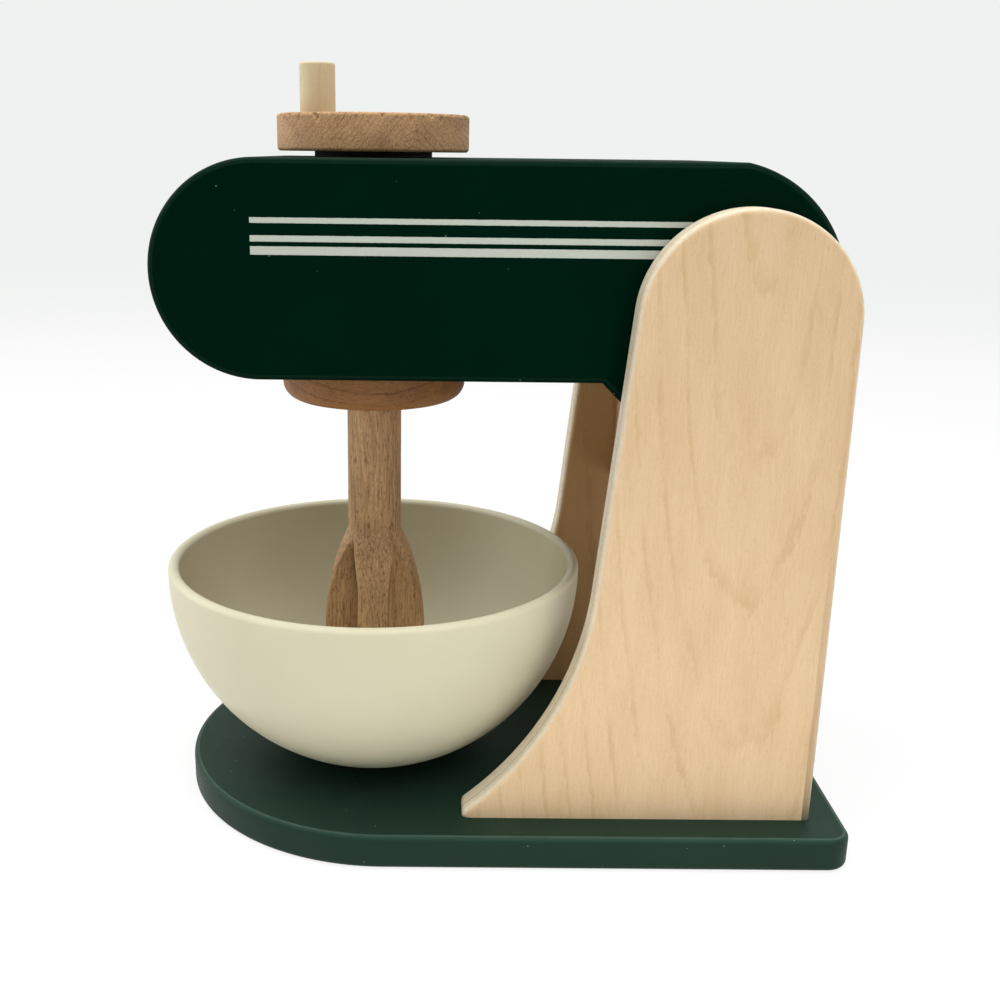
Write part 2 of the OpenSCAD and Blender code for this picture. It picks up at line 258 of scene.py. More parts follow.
def rounded_board(name, outline, low, high, low_r, high_r, upright, foot=None):
    """A board between two depths with its edges rounded over; an upright one is drawn in X and Z,
    and may be cut off square at the level of its foot.
    The attribute edge rises from 0 on a face that is rounded over to 1 on the wall."""
    rings = round_over(low_r, low, 1) + round_over(high_r, high, -1)[::-1]
    mesh = bmesh.new()
    edge = mesh.verts.layers.float.new("edge")
    loops = []
    for distance, depth in rings:
        loop = []
        for x, y in inset(outline, distance):
            vert = mesh.verts.new((x, depth, y) if upright else (x, y, depth))
            vert[edge] = max(0.0, 1 - distance / (max(low_r, high_r) or 1.0))
            loop.append(vert)
        loops.append(loop)
    count = len(outline)
    for lower, upper in zip(loops, loops[1:]):
        for i in range(count):
            k = (i + 1) % count
            mesh.faces.new((lower[i], lower[k], upper[k], upper[i])).smooth = True
    mesh.faces.new(loops[0])
    mesh.faces.new(loops[-1])
    if foot is not None:
        whole = [*mesh.verts, *mesh.edges, *mesh.faces]
        bmesh.ops.bisect_plane(
            mesh, geom=whole, plane_co=(0, 0, foot), plane_no=(0, 0, -1), clear_outer=True,
        )
        bmesh.ops.edgeloop_fill(mesh, edges=[rim for rim in mesh.edges if rim.is_boundary])
    bmesh.ops.recalc_face_normals(mesh, faces=mesh.faces)
    return finished(name, mesh)


sink_steps = 48


def countersink(piece, level, places, head_r, shank_r, top):
    """Replaces the underside of a board by one with a countersunk hole at each place."""
    mesh = bmesh.new()
    mesh.from_mesh(piece.data)
    underside = max(mesh.faces, key=lambda face: -face.normal.z * face.calc_area())
    borders = list(underside.edges)
    mesh.faces.remove(underside)
    for place in places:
        rings = []
        for radius, height in ((head_r, level), (shank_r, level + head_r - shank_r), (shank_r, top)):
            circle = arc(place, radius, 0, 360, sink_steps)[:-1]
            rings.append([mesh.verts.new((*point, height)) for point in circle])
        for lower, upper in zip(rings, rings[1:]):
            for i in range(len(lower)):
                mesh.faces.new((lower[i - 1], lower[i], upper[i], upper[i - 1])).smooth = True
        mesh.faces.new(rings[-1])
        borders += [mesh.edges.get((rings[0][i - 1], rings[0][i])) for i in range(len(rings[0]))]
    bmesh.ops.triangle_fill(mesh, edges=borders, use_beauty=True)
    bmesh.ops.recalc_face_normals(mesh, faces=mesh.faces)
    mesh.to_mesh(piece.data)
    mesh.free()


millimetres = 1000


def new_finish(name):
    """An empty material, and a wire that carries the place on the piece in millimetres."""
    material = bpy.data.materials.new(name)
    material.use_nodes = True
    material.node_tree.nodes.clear()
    metres = Wire(material.node_tree).add("ShaderNodeTexCoord", out="Object")
    return material, metres.vector("MULTIPLY", (millimetres,) * 3)


def surface(colour, roughness, relief, depth, constants):
    """Ends a finish in its shader: a relief of 1 stands depth proud of a relief of 0."""
    bump = colour.add("ShaderNodeBump", sockets={"Height": relief, "Distance": depth})
    sockets = {"Base Color": colour, "Roughness": roughness, "Normal": bump, **constants}
    shader = colour.add("ShaderNodeBsdfPrincipled", sockets=sockets)
    colour.add("ShaderNodeOutputMaterial", sockets={"Surface": shader})


def specks(place, spacing, size, share):
    """Small round marks in a share of the cells of a loose grid."""
    cells = {"Vector": place, "Scale": 1 / spacing}
    near = place.add("ShaderNodeTexVoronoi", sockets=cells, out="Distance") * spacing
    lot = place.add("ShaderNodeTexVoronoi", sockets=cells, out="Color").parts()[0]
    return (1 - near.rise(size * 0.5, size)) * lot.rise(1 - share - 0.01, 1 - share + 0.01)


def green_paint(name, colour, edge_wear_and_highlight_colour, edge_wear_and_highlight_share, dust, gloss, tint):
    """Sprayed paint: cloudy, with a fine orange peel, dust specks, and paler edges that are partly worn
    paint and partly a painted highlight.
    """
    material, place = new_finish(name)
    cloud = place.clouds(26, 3)
    peel = place.clouds(0.9, 2)
    edge = place.add("ShaderNodeAttribute", {"attribute_name": "edge"}, out="Fac")
    # The pale band over each rounded edge is partly worn paint and partly a painted highlight, where the
    # rounding catches the light.
    edge_wear_and_highlight_band = edge.rise(0.0, 0.2) * (1 - edge.rise(0.25, 0.6)) * (place.clouds(6, 3) * 0.8 + 0.4)
    coat = cloud.blend(shade(colour), shade(colour, 0.72))
    coat_with_wear_and_highlight = (edge_wear_and_highlight_band * edge_wear_and_highlight_share).blend(coat, shade(edge_wear_and_highlight_colour))
    dusty = (specks(place, 5, 0.3, dust) * 0.4).blend(coat_with_wear_and_highlight, shade("9aa89c"))
    relief = peel * 0.6 + place.clouds(0.25, 2) * 0.4
    shine = {"Specular IOR Level": 0.5 * gloss, "Specular Tint": tint}
    surface(dusty, cloud * 0.12 + 0.5, relief, 0.00005, shine)
    return material


edge_r = 0.002
base_low, base_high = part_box("base_board")
base_round = base_high.y
base_corner_r = 0.008
base_round_steps = 120
base_corner_steps = 16
screws_low, screws_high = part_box("panel_screws")
screw_head_r = 0.004
screw_shank_r = 0.002
screw_room = 0.0001
screw_rows = (screws_low.x + screw_head_r, screws_high.x - screw_head_r)
screw_sides = (screws_low.y + screw_head_r, screws_high.y - screw_head_r)

base_rear = base_high.x - base_corner_r
base_outline = (
    arc((base_low.x + base_round, 0), base_round, 90, 270, base_round_steps)
    + arc((base_rear, base_low.y + base_corner_r), base_corner_r, 270, 360, base_corner_steps)
    + arc((base_rear, base_high.y - base_corner_r), base_corner_r, 0, 90, base_corner_steps)
)
base = rounded_board("base", base_outline, base_low.z, base_high.z, edge_r, edge_r, upright=False)
countersink(
    base, base_low.z, [(x, y) for x in screw_rows for y in screw_sides],
    screw_head_r + screw_room, screw_shank_r + screw_room, base_high.z - edge_r,
)
# The base's green is lighter than the head's, though both are one paint: painted light from the bright
# table beside it. Its pale edge colour paints the highlight along the rounded edges, and partly wear.
base.data.materials.append(green_paint(
    "base_paint", "11251c", edge_wear_and_highlight_colour="6f8a7c", edge_wear_and_highlight_share=0.25, dust=0.55, gloss=0.6, tint=(0.55, 1.0, 0.75, 1.0),
))
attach(base, "frame")
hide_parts("base_board")


# Side panels
# Two mirror-image boards with a round top and a front edge that sweeps forward to a toe: a pale
# maple veneer on each face of a lighter core, rounded over, clear lacquered, and screwed from below.
def along_grain(place, axis, across, length):
    """Coordinates in which a fibre of the wood is as long as it is wide."""
    scale = [1 / across] * 3
    scale["XYZ".index(axis)] = 1 / length
    return place.vector("MULTIPLY", scale)


def drifted(place, axis, wander, span):
    """Places moved to the side a little, in long waves along the grain, as a pith wanders in its log."""
    drift = along_grain(place, axis, span, 4 * span).clouds(1.0, 2, out="Color")
    drift = drift.vector("SUBTRACT", (0.5, 0.5, 0.5)).vector("MULTIPLY", (2 * wander,) * 3)
    return place.vector("ADD", drift)


def growth(place, axis, pith, spacing, wander, span, lean=(0.0, 0.0, 0.0)):
    """Counts the growth rings out from a pith that wanders, and may lean from the axis by some degrees."""
    turn = tuple(math.radians(angle) for angle in lean)
    log = place.add("ShaderNodeMapping", sockets={"Vector": place, "Rotation": turn})
    across = [1.0] * 3
    across["XYZ".index(axis)] = 0.0
    offset = drifted(log, axis, wander, span).vector("SUBTRACT", pith).vector("MULTIPLY", across)
    return offset.vector("LENGTH", out="Value") / spacing


def timber(place, axis, rings, light, dark, line_share, fleck_share, coarse):
    """The colour and the relief of wood: a thin dark line at the end of each year, fibres, pores and
    flecks, which are wider and darker in coarse wood."""
    year = rings.maths("FRACT", rings + (along_grain(place, axis, 1.2, 6).clouds(1.0, 3) - 0.5) * 0.35)
    line = year.rise(0.72, 0.94) * (1 - year.rise(0.94, 1.0)) * place.clouds(14, 3).rise(0.3, 0.65)
    fibre = along_grain(place, axis, 0.3 * coarse, 5 * coarse).clouds(1.0, 4)
    pores = along_grain(place, axis, 0.35 * coarse, 1.1 * coarse).clouds(1.0, 2).rise(0.52, 0.72)
    mottle = along_grain(place, axis, 9, 45).clouds(1.0, 3)
    fleck = specks(along_grain(place, axis, 0.4 * coarse, 4.5 * coarse), 1.0, 0.3, fleck_share)
    late = mottle.rise(0.25, 0.75) * 0.35 + line * line_share + pores * (0.22 * coarse)
    colour = late.blend(shade(light), shade(dark))
    colour = ((fibre - 0.35) * (0.7 * coarse)).blend(colour, shade(dark))
    colour = (fleck * 0.36).blend(colour, shade(dark, 0.4))
    return colour, fibre * 0.6 - fleck * 0.8 - pores * 0.3 - line * 0.2


def veneer(name, light, dark, outer_face, glue_depth, pith, lean):
    """Veneer with faint arched figure on the faces, and the core with its glue line on the edges."""
    material, place = new_finish(name)
    edge = place.add("ShaderNodeAttribute", {"attribute_name": "edge"}, out="Fac")
    rings = growth(place, "Z", pith, spacing=7.0, wander=6.0, span=40, lean=lean)
    face, relief = timber(place, "Z", rings, light, dark, line_share=0.4, fleck_share=0.015, coarse=1.1)
    depth = outer_face - abs(place.parts()[1]) + (place.clouds(30, 2) - 0.5) * 0.4
    glue = abs(depth - glue_depth)
    core = place.clouds(1.5, 3).rise(0.3, 0.7).blend(shade("dcd0b8"), shade("d3c5aa"))
    core = ((1 - glue.rise(0.08, 0.3)) * 0.75).blend(core, shade("7d6c55"))
    colour = edge.rise(0.3, 0.9).blend(face, core)
    surface(colour, relief * 0.15 + 0.5, relief, 0.00004, {"Specular IOR Level": 0.2})
    return material


panel_top_r = 0.0344
panel_lean = 5.5
sweep_height = 0.080
sweep_r = 0.114
toe_r = 0.0032
toe_height = 0.0005
glue_depth = 4.5
top_steps = 90
sweep_steps = 48
toe_steps = 12

panel_low, panel_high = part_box("left_panel")
panel_top = Vector((panel_high.x - panel_top_r, panel_high.z - panel_top_r))
lean_out = Vector((-math.cos(math.radians(panel_lean)), math.sin(math.radians(panel_lean))))
front_top = panel_top + panel_top_r * lean_out
sweep_z = panel_low.z + sweep_height
sweep_x = front_top.x - (front_top.y - sweep_z) * math.tan(math.radians(panel_lean))
sweep_centre = Vector((sweep_x, sweep_z)) + sweep_r * lean_out
toe_turn = -math.degrees(math.asin((sweep_centre.y - panel_low.z - toe_height) / (sweep_r + toe_r)))
toe_centre = arc(sweep_centre, sweep_r + toe_r, toe_turn, toe_turn, 1)[0]
foot_run = panel_low.z - 2 * edge_r
panel_outline = (
    [Vector((panel_high.x, foot_run))]
    + arc(panel_top, panel_top_r, 0, 180 - panel_lean, top_steps)
    + arc(sweep_centre, sweep_r, -panel_lean, toe_turn, sweep_steps)
    + arc(toe_centre, toe_r, 180 + toe_turn, 180, toe_steps)[1:]
    + [Vector((toe_centre.x - toe_r, foot_run))]
)
for name, side, light, dark, pith, lean in (
    ("right_panel", -1, "ddc19b", "c4a276", (128.0, -100.0, 0.0), (7.0, 2.5, 0.0)),
    # The left panel is darker than the right: a little because two boards differ, and mostly painted
    # shade, since its inner face lies in the shade between the panels.
    ("left_panel", 1, "d3ac7c", "ba9260", (104.0, 92.0, 0.0), (-4.5, -2.0, 0.0)),
):
    near, far = sorted((side * panel_low.y, side * panel_high.y))
    piece_name = name.replace("panel", "side")
    panel = rounded_board(
        piece_name, panel_outline, near, far, edge_r, edge_r, upright=True, foot=panel_low.z,
    )
    outer_face = panel_high.y * millimetres
    finish = veneer(name + "_veneer", light, dark, outer_face, glue_depth, pith, lean)
    panel.data.materials.append(finish)
    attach(panel, "frame")
    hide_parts(name)


# Cross rail
# A short board between the panels on which the heel of the head comes to rest, with eased edges,
# in the same maple and glued on dowels.
rail_edge_r = 0.001
rail_edge_steps = 6

rail_low, rail_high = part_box("cross_rail")
rail_front, rail_rear = rail_low.x + rail_edge_r, rail_high.x - rail_edge_r
rail_under, rail_over = rail_low.z + rail_edge_r, rail_high.z - rail_edge_r
rail_edges = (
    (rail_rear, rail_over), (rail_front, rail_over), (rail_front, rail_under), (rail_rear, rail_under),
)
rail_outline = []
for quarter, edge_middle in enumerate(rail_edges):
    rail_outline += arc(edge_middle, rail_edge_r, 90 * quarter, 90 * quarter + 90, rail_edge_steps)
rail = rounded_board("rail", rail_outline, rail_low.y, rail_high.y, 0.0, 0.0, upright=True)


def solid_wood(
    name, axis, pith, spacing, light, dark, line_share, fleck_share,
    coarse=1.0, wander=1.5, span=14, rule=growth,
):
    """Wood sawn or turned from a log that lay along one axis, sanded and oiled."""
    material, place = new_finish(name)
    rings = rule(place, axis, pith, spacing, wander, span)
    colour, relief = timber(place, axis, rings, light, dark, line_share, fleck_share, coarse)
    marks = along_grain(place, "Z", 25, 0.35).clouds(1.0, 2)
    surface(colour, relief * 0.15 + 0.55, relief + marks * 0.3, 0.00008, {"Specular IOR Level": 0.2})
    return material


rail.data.materials.append(solid_wood(
    "rail_maple", "Y", pith=(90.0, 0.0, 60.0), spacing=4.0, light="e3c59c", dark="cda97b",
    line_share=0.35, fleck_share=0.1,
))
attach(rail, "frame")
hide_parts("cross_rail")


# Rail dowels and pivot dowel
# Plain birch rod, cut to length: the short dowels are glued into the panels and the rail, and the
# long one is pressed into both panels and carries the head.
def dress(node, material):
    """Puts a finish on a solid of the frame that stays in the scene as it is."""
    data = frame["nodes"][node].data
    data.materials.clear()
    data.materials.append(material)


rod_birch = solid_wood(
    "rod_birch", "Y", pith=(20.0, 0.0, 160.0), spacing=1.6, light="d2bf98", dark="b99f74",
    line_share=0.3, fleck_share=0.1,
)
dress("rail_dowels", rod_birch)
dress("pivot_dowel", rod_birch)


# Panel screws
# Four zinc plated wood screws with countersunk cross-recess heads, driven up through the base
# board into the lower edges of the side panels, flush with its underside.
def new_tree(name, sizes):
    """A Geometry Nodes tree with one input for each named size, and wires from those inputs."""
    tree = bpy.data.node_groups.new(name, "GeometryNodeTree")
    tree.interface.new_socket("Geometry", in_out="OUTPUT", socket_type="NodeSocketGeometry")
    for label in sizes:
        tree.interface.new_socket(label, in_out="INPUT", socket_type="NodeSocketFloat")
    source = tree.nodes.new("NodeGroupInput")
    return tree, {label: Wire(tree, source.outputs[label]) for label in sizes}


def grown(name, tree, geometry, material, sizes):
    """Ends a tree, runs it with these sizes and keeps the result as a plain mesh."""
    whole = geometry.add("GeometryNodeRealizeInstances", sockets={"Geometry": geometry})
    whole = whole.add("GeometryNodeSetMaterial", sockets={"Geometry": whole, "Material": material})
    whole.add("NodeGroupOutput", sockets={0: whole})
    piece = bpy.data.objects.new(name, bpy.data.meshes.new(name))
    scene.collection.objects.link(piece)
    modifier = piece.modifiers.new("grow", "NODES")
    modifier.node_group = tree
    for item in tree.interface.items_tree:
        if item.in_out == "INPUT":
            modifier[item.identifier] = sizes[item.name]
    ready = piece.evaluated_get(bpy.context.evaluated_depsgraph_get())
    data = bpy.data.meshes.new_from_object(ready)
    piece.modifiers.clear()
    piece.data = data
    return piece


def zinc(name):
    """Bright plating with fine turning marks and a dull bloom."""
    material, place = new_finish(name)
    marks = along_grain(place, "Z", 3, 0.08).clouds(1.0, 2)
    bloom = place.clouds(2.5, 3)
    colour = bloom.blend(shade("b9b9b4"), shade("8f8f8a"))
    surface(colour, 0.28 + bloom * 0.2, marks, 0.00003, {"Metallic": 1.0})
    return material


screw_sizes = {
    "Head Radius": screw_head_r,
    "Shank Radius": screw_shank_r,
    "Length": screws_high.z,
    "Recess Width": 0.0011,
    "Recess Span": 0.0046,
    "Recess Depth": 0.0016,
    "Spacing X": screw_rows[1] - screw_rows[0],
    "Spacing Y": screw_sides[1] - screw_sides[0],
    "Middle X": (screw_rows[0] + screw_rows[1]) / 2,
}
screw_tree, size = new_tree("countersunk_screws", screw_sizes)
start = size["Length"]
cone_height = size["Head Radius"] - size["Shank Radius"]
cone = start.add("GeometryNodeMeshCone", sockets={
    "Vertices": 32,
    "Radius Top": size["Shank Radius"],
    "Radius Bottom": size["Head Radius"],
    "Depth": cone_height,
})
# The two slots of the cross differ a little in depth, so that their floors don't lie in one plane
slots = []
for across, along, reach in (("Recess Width", "Recess Span", 2.0), ("Recess Span", "Recess Width", 1.9)):
    depth = size["Recess Depth"] * reach
    extent = start.add("ShaderNodeCombineXYZ", sockets={0: size[across], 1: size[along], 2: depth})
    slots.append(start.add("GeometryNodeMeshCube", sockets={"Size": extent}))
cross = start.add("GeometryNodeMeshBoolean", {"operation": "UNION"})
for slot_shape in slots:
    screw_tree.links.new(slot_shape.socket, cross.socket.node.inputs["Mesh 2"])
head = start.add("GeometryNodeMeshBoolean", {"operation": "DIFFERENCE"}, {"Mesh 1": cone, "Mesh 2": cross})
shank = start.add("GeometryNodeMeshCylinder", sockets={
    "Vertices": 24, "Radius": size["Shank Radius"], "Depth": size["Length"] - cone_height,
})
lift = start.add("ShaderNodeCombineXYZ", sockets={2: (size["Length"] + cone_height) * 0.5})
shank = start.add("GeometryNodeTransform", sockets={"Geometry": shank, "Translation": lift})
screw = start.add("GeometryNodeJoinGeometry", sockets={"Geometry": head})
screw_tree.links.new(shank.socket, screw.socket.node.inputs["Geometry"])
corners = start.add("GeometryNodeMeshGrid", sockets={
    "Size X": size["Spacing X"], "Size Y": size["Spacing Y"], "Vertices X": 2, "Vertices Y": 2,
})
middle = start.add("ShaderNodeCombineXYZ", sockets={0: size["Middle X"]})
corners = start.add("GeometryNodeTransform", sockets={"Geometry": corners, "Translation": middle})
screws = start.add("GeometryNodeInstanceOnPoints", sockets={"Points": corners, "Instance": screw})
screws = grown("screws", screw_tree, screws, zinc("zinc_plate"), screw_sizes)
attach(screws, "frame")
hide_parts("panel_screws")


# Pivot washers
# Two thin rings of black felt on the pivot dowel, which keep the head in the middle between the
# panels and let it turn quietly.
def black_felt(name):
    """Pressed wool: matted fibres and a dusty nap."""
    material, place = new_finish(name)
    mat = place.clouds(0.35, 5)
    nap = place.clouds(2.0, 3)
    colour = (mat * 0.6 + nap * 0.4).blend(shade("141414"), shade("3a3936"))
    surface(colour, 0.85 + mat * 0.1, mat, 0.0003, {"Sheen Weight": 0.4, "Specular IOR Level": 0.15})
    return material


felt = black_felt("felt")
dress("pivot_washers", felt)


# Head
# Three boards glued face to face in one outline: a round nose, a straight bar, and a hub round the
# pivot with a flat heel that rests on the rail. The outer two are rounded over, and all are sprayed.
head_height = 0.0685
nose_steps = 90
hub_steps = 72

core_low, core_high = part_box("head_core")
cheek_low, cheek_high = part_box("left_cheek")
pivot = Vector(next(j for j in frame["joints"] if j["name"] == "head_tilt")["pos_m"])
hub_r = core_high.x - pivot.x
head_top = core_high.z
head_low = head_top - head_height
heel_low = core_low.z
# The underside drops to the heel at 45 degrees, on a line that touches the hub's circle
heel_start = pivot.x - hub_r * math.sqrt(2) + pivot.z - head_low
heel_end = heel_start + head_low - heel_low
heel_turn = math.degrees(math.acos(hub_r / (pivot.z - heel_low)))
shoulder = math.degrees(math.asin((head_top - pivot.z) / hub_r))
nose_r = head_height / 2
head_outline = (
    arc((core_low.x + nose_r, head_low + nose_r), nose_r, 90, 270, nose_steps)
    + [Vector((heel_start, head_low)), Vector((heel_end, heel_low)), Vector((pivot.x, heel_low))]
    + arc((pivot.x, pivot.z), hub_r, heel_turn - 90, shoulder, hub_steps)
)
# The head's green is darker than the base's, though both are one paint: painted shade. Its pale edge
# colour is faint wear and a faint painted highlight.
head_paint = green_paint(
    "head_paint", "00170c", edge_wear_and_highlight_colour="33493d", edge_wear_and_highlight_share=0.15, dust=0.3, gloss=0.15, tint=(0.05, 0.7, 0.45, 1.0),
)
for name, node, near, far, near_r, far_r in (
    ("head_middle", "head_core", core_low.y, core_high.y, 0.0, 0.0),
    ("head_right", "right_cheek", -cheek_high.y, -cheek_low.y, edge_r, 0.0),
    ("head_left", "left_cheek", cheek_low.y, cheek_high.y, 0.0, edge_r),
):
    board = rounded_board(name, head_outline, near, far, near_r, far_r, upright=True)
    board.data.materials.append(head_paint)
    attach(board, "head")
    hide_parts(node)


# Stripes
# Three plain pale stripes of unequal width, screen printed along both sides of the head in thin
# ink, from behind the nose to behind the side panels.
stripe_front = -0.036
stripe_rear = 0.118
stripe_bands = ((0.2096, 0.2113), (0.2040, 0.2059), (0.2000, 0.2026))
ink_thickness = 0.00004
ink_steps = 220
ink_ragged = 0.00006
ragged_along = 900
ragged_across = 4000
ragged_seeds = (3.1, 7.7)


def stripe_ink(name):
    """Thin pale ink with a faint weave of the screen and small bare spots."""
    material, place = new_finish(name)
    grain = place.clouds(0.5, 3)
    colour = grain.blend(shade("c6ccbf"), shade("b2b9ac"))
    colour = (specks(place, 5, 0.2, 0.35) * 0.8).blend(colour, shade("33473b"))
    surface(colour, 0.55 + grain * 0.1, grain, 0.00003, {"Specular IOR Level": 0.25})
    return material


mesh = bmesh.new()
for side in (-1, 1):
    for low, high in stripe_bands:
        rows = []
        for i in range(ink_steps + 1):
            x = stripe_front + (stripe_rear - stripe_front) * i / ink_steps
            rows.append([])
            for z, seed in zip((low, high), ragged_seeds):
                spot = Vector((x * ragged_along, z * ragged_across, seed * side))
                ragged = ink_ragged * noise.noise(spot)
                for lift in (0.0, ink_thickness):
                    rows[-1].append(mesh.verts.new((x, side * (cheek_high.y + lift), z + ragged)))
        for first, second in zip(rows, rows[1:]):
            for a, b in ((0, 1), (1, 3), (3, 2), (2, 0)):
                mesh.faces.new((first[a], first[b], second[b], second[a]))
        mesh.faces.new([rows[0][k] for k in (0, 1, 3, 2)])
        mesh.faces.new([rows[-1][k] for k in (0, 1, 3, 2)])
bmesh.ops.recalc_face_normals(mesh, faces=mesh.faces)
stripes = finished("stripes", mesh)
stripes.data.materials.append(stripe_ink("stripe_ink"))
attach(stripes, "head")


# Crank disc
# A disc sawn from a beech board and sanded, so end grain shows on its near and far side and the
# upper edge has small chips. It is glued on the upper end of the spindle.
def turned(name, profile, steps, middle=(0.0, 0.0), shape=None):
    """A lathe mesh over a profile of radius and height, from its lower to its upper end."""
    mesh = bmesh.new()
    rings = []
    for radius, height in profile:
        ring = []
        for i in range(steps if radius else 1):
            a = math.tau * i / steps
            point = Vector((middle[0] + radius * math.cos(a), middle[1] + radius * math.sin(a), height))
            ring.append(mesh.verts.new(shape(point) if shape else point))
        rings.append(ring)
    for lower, upper in zip(rings, rings[1:]):
        for i in range(steps):
            corners = [lower[k % len(lower)] for k in (i, i + 1)]
            corners += [upper[k % len(upper)] for k in (i + 1, i)]
            mesh.faces.new(list(dict.fromkeys(corners))).smooth = True
    return finished(name, mesh)


rim_steps = 10
rim_flat = 1.4
rim_walls = (3.0, 2.2)


def disc_profile(low, high, radius, low_r, high_r):
    """Half section of a disc with rounded edges, and with rings next to them that keep the faces flat."""
    return (
        [(0.0, low), (radius - low_r * rim_flat, low)]
        + arc((radius - low_r, low + low_r), low_r, -90, 0, rim_steps)
        + [(radius, high - high_r * times) for times in rim_walls]
        + arc((radius - high_r, high - high_r), high_r, 0, 90, rim_steps)
        + [(radius - high_r * rim_flat, high), (0.0, high)]
    )


disc_edge_r = 0.0012
disc_steps = 512
chip_depth = 0.0024
chip_size = 0.0016
chip_start = 0.24

disc_low, disc_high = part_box("crank_disc")


def chipped(point):
    """Takes small chips out of the disc's upper edge."""
    outside = math.hypot(point.x, point.y) > disc_high.x - 2 * disc_edge_r
    if not (outside and point.z > disc_high.z - 2 * disc_edge_r):
        return point
    bite = max(0.0, noise.noise(point / chip_size) - chip_start)
    inward = Vector((-point.x, -point.y, 0.0)).normalized()
    return point + chip_depth * bite * (inward + Vector((0.0, 0.0, -1.0)))


disc_shape = disc_profile(disc_low.z, disc_high.z, disc_high.x, disc_edge_r, disc_edge_r)
disc = turned("disc", disc_shape, disc_steps, shape=chipped)
ridge_round = 3.0
ridge_fall = 1.3


def crossed_rings(place, axis, pith, spacing, wander, span):
    """Counts growth rings that fall away steeply to both sides of a ridge, as near a fork in the tree."""
    across, _, height = drifted(place, axis, wander, span).vector("SUBTRACT", pith).parts()
    ridge = across.maths("SQRT", across * across + ridge_round ** 2)
    return (height + ridge * ridge_fall) / spacing


disc.data.materials.append(solid_wood(
    "disc_beech", "Y", pith=(14.0, 0.0, 190.0), spacing=2.6, light="d4ab7d", dark="66411f",
    line_share=0.4, fleck_share=0.2, coarse=1.7, wander=1.6, span=9, rule=crossed_rings,
))
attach(disc, "crank")
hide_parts("crank_disc")


# Crank handle
# A length of birch dowel with eased ends, glued upright into the disc off its middle.
# It is left bare and sanded smooth.
handle_low, handle_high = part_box("crank_handle")
handle_r = (handle_high.x - handle_low.x) / 2
handle_end_r = 0.0008
handle_steps = 96
handle_middle = ((handle_high.x + handle_low.x) / 2, 0.0)

handle_shape = disc_profile(handle_low.z, handle_high.z, handle_r, handle_end_r, handle_end_r)
handle = turned("handle", handle_shape, handle_steps, handle_middle)
handle.data.materials.append(solid_wood(
    "handle_birch", "Z", pith=(-40.0, 18.0, 0.0), spacing=2.2, light="d7c8a6", dark="c0aa83",
    line_share=0.25, fleck_share=0.06,
))
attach(handle, "crank")
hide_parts("crank_handle")


# Crank washer and spindle
# A ring of felt under the disc, and the birch dowel that runs down through the head and is glued
# into the disc, the collar and the beater.
# The crank washer's black felt also stands in for the shadow in the gap under the disc: partly painted
# shade.
dress("crank_washer", felt)
dress("spindle", solid_wood(
    "spindle_birch", "Z", pith=(30.0, 22.0, 0.0), spacing=2.0, light="d2bf98", dark="b99f74",
    line_share=0.3, fleck_share=0.1,
))


# Collar
# A thick beech disc turned with a wide round on its lower edge, glued to the spindle just under
# the head. Its grain runs from front to rear.
collar_low, collar_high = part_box("collar")
collar_lower_r = 0.006
collar_upper_r = 0.0012
wide_steps = 192

collar_shape = disc_profile(collar_low.z, collar_high.z, collar_high.x, collar_lower_r, collar_upper_r)
collar = turned("collar_round", collar_shape, wide_steps)
# Its beech is darker than the disc's and the beater's: painted shade, since it sits in the shadow under
# the head.
collar.data.materials.append(solid_wood(
    "collar_beech", "X", pith=(0.0, 10.0, 50.0), spacing=4.5, light="9a6d42", dark="553419",
    line_share=0.55, fleck_share=0.2, coarse=1.5, wander=2.2,
))
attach(collar, "crank")
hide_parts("collar")


# Beater
# One beech turning: a round shaft that swells into a belly with a round end, then four grooves
# milled up its length to leave four vanes, each groove running out in a point, and all sanded.
beater_low, beater_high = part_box("beater")
beater_sizes = {
    "Belly Radius": 0.0188,
    "Shaft Radius": 0.00975,
    "Straight Height": 0.0095,
    "Flare Radius": 0.094,
    "Vane Thickness": 0.011,
    "Groove End": 0.0025,
    "Groove Run": 0.018,
    "Sanding": 0.0006,
    "Low": beater_low.z,
    "High": beater_high.z,
}
around = 361
upward = 221
round_share = 0.2
closed_end = 0.9999
least_sine = 0.001
weld = 0.00001

beater_tree, size = new_tree("beater_rule", beater_sizes)
# Along the grid goes the angle round the axis, and up it the climb from the lower to the upper end
grid = size["Low"].add("GeometryNodeMeshGrid", sockets={
    "Size X": math.tau, "Size Y": 1.0, "Vertices X": around, "Vertices Y": upward,
})
spot = grid.add("GeometryNodeInputPosition").parts()
angle = spot[0]
climb = spot[1] + 0.5
belly, shaft, flare = size["Belly Radius"], size["Shaft Radius"], size["Flare Radius"]
belly_height = size["Low"] + belly
swing = climb.maths("MINIMUM", climb / round_share, 1.0) * (math.pi / 2)
rise = (climb - round_share) / (1 - round_share)
above = rise.maths("MAXIMUM", rise, 0.0) * (size["High"] - belly_height)
height = belly_height - belly * swing.maths("COSINE", swing) + above


def flare_radius(level):
    """Radius of the long curve at a level above its lower end."""
    rest = flare * flare - level * level
    return belly - flare + rest.maths("SQRT", rest.maths("MAXIMUM", rest, 0.0))


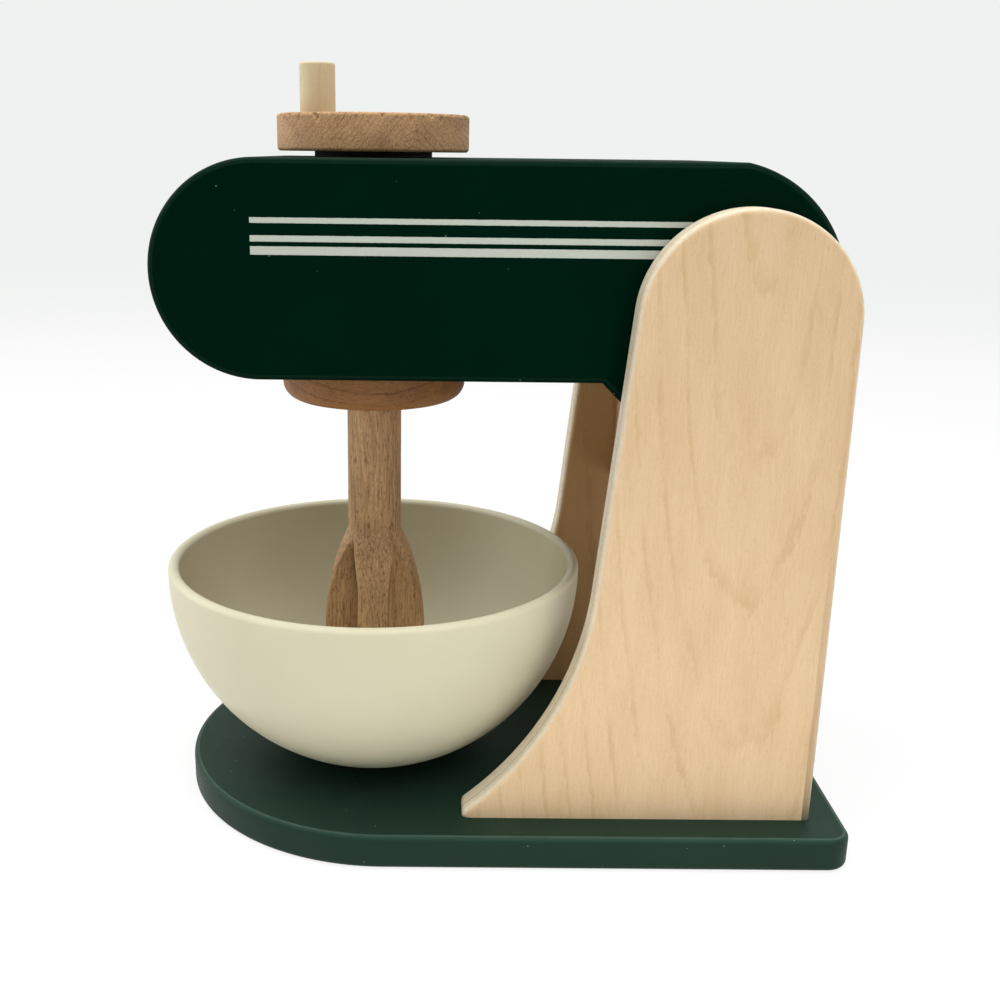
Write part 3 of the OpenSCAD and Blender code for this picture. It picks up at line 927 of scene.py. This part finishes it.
flare_inner = flare - belly + shaft
flare_height = flare.maths("SQRT", flare * flare - flare_inner * flare_inner)
swell = flare_radius(above.maths("MAXIMUM", above - size["Straight Height"], 0.0))
outside = swell.maths("MINIMUM", belly * swing.maths("SINE", swing), swell.maths("MAXIMUM", swell, shaft))
run_low = belly_height + size["Straight Height"] + flare_height - size["Groove End"] - size["Groove Run"]
half = size["Vane Thickness"] * 0.5
slope = (flare_radius(flare_height - size["Groove End"]) / math.sqrt(2) - half) / size["Groove Run"]
half = half + height.maths("MAXIMUM", height - run_low, 0.0) * slope
sine = abs(angle.maths("SINE", angle))
cosine = abs(angle.maths("COSINE", angle))
wall = half / angle.maths("MAXIMUM", angle.maths("MINIMUM", sine, cosine), least_sine)
radius = wall.maths("SMOOTH_MIN", outside, wall, size["Sanding"])
radius = radius.maths("MAXIMUM", radius, 0.0) * (1 - climb.maths("GREATER_THAN", climb, closed_end))
ring = grid.add("ShaderNodeCombineXYZ", sockets={
    0: radius * angle.maths("COSINE", angle), 1: radius * angle.maths("SINE", angle), 2: height,
})
shape = grid.add("GeometryNodeSetPosition", sockets={"Geometry": grid, "Position": ring})
shape = shape.add("GeometryNodeMergeByDistance", sockets={"Geometry": shape, "Distance": weld})
shape = shape.add("GeometryNodeSetShadeSmooth", sockets={"Geometry": shape, "Shade Smooth": True})
beater_beech = solid_wood(
    "beater_beech", "Z", pith=(60.0, 45.0, 0.0), spacing=1.3, light="dab283", dark="5f3c1d",
    line_share=0.2, fleck_share=0.3, coarse=2.0,
)
beater = grown("whisk", beater_tree, shape, beater_beech, beater_sizes)
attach(beater, "crank")
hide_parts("beater")


# Bowl
# A moulded cream bowl: most of half a ball, with a flat foot, an upright lip and a rounded rim.
# It stands loose on the base board, and its skin is satin with a few faint marks.
bowl_low, bowl_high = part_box("bowl")
bowl_r = bowl_high.x
bowl_wall = 0.004
bowl_floor = 0.0045
bowl_foot_r = 0.027
bowl_wall_steps = 64
bowl_rim_steps = 24

bowl_middle = bowl_low.z + math.sqrt(bowl_r ** 2 - bowl_foot_r ** 2)
inner_r = bowl_r - bowl_wall
inner_floor = bowl_low.z + bowl_floor
inner_start = -math.degrees(math.asin((bowl_middle - inner_floor) / inner_r))
outer_start = -math.degrees(math.acos(bowl_foot_r / bowl_r))
rim_middle = (bowl_r - bowl_wall / 2, bowl_high.z - bowl_wall / 2)
bowl_profile = (
    [(0.0, bowl_low.z)]
    + arc((0.0, bowl_middle), bowl_r, outer_start, 0, bowl_wall_steps)
    + arc(rim_middle, bowl_wall / 2, 0, 180, bowl_rim_steps)
    + arc((0.0, bowl_middle), inner_r, 0, inner_start, bowl_wall_steps)
    + [(0.0, inner_floor)]
)
bowl = turned("mixing_bowl", bowl_profile, wide_steps)


def cream_skin(name):
    """Satin moulding: faint clouds in the colour, a fine grain, and a few dark specks."""
    material, place = new_finish(name)
    cloud = place.clouds(30, 3)
    grain = place.clouds(0.4, 3)
    colour = cloud.blend(shade("d1ccb0"), shade("c8c2a5"))
    colour = (specks(place, 14, 0.28, 0.2) * 0.45).blend(colour, shade("8d846a"))
    surface(colour, 0.4 + cloud * 0.08, grain, 0.00003, {"Specular IOR Level": 0.35})
    return material


bowl.data.materials.append(cream_skin("cream_skin"))
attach(bowl, "bowl")
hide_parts("bowl")
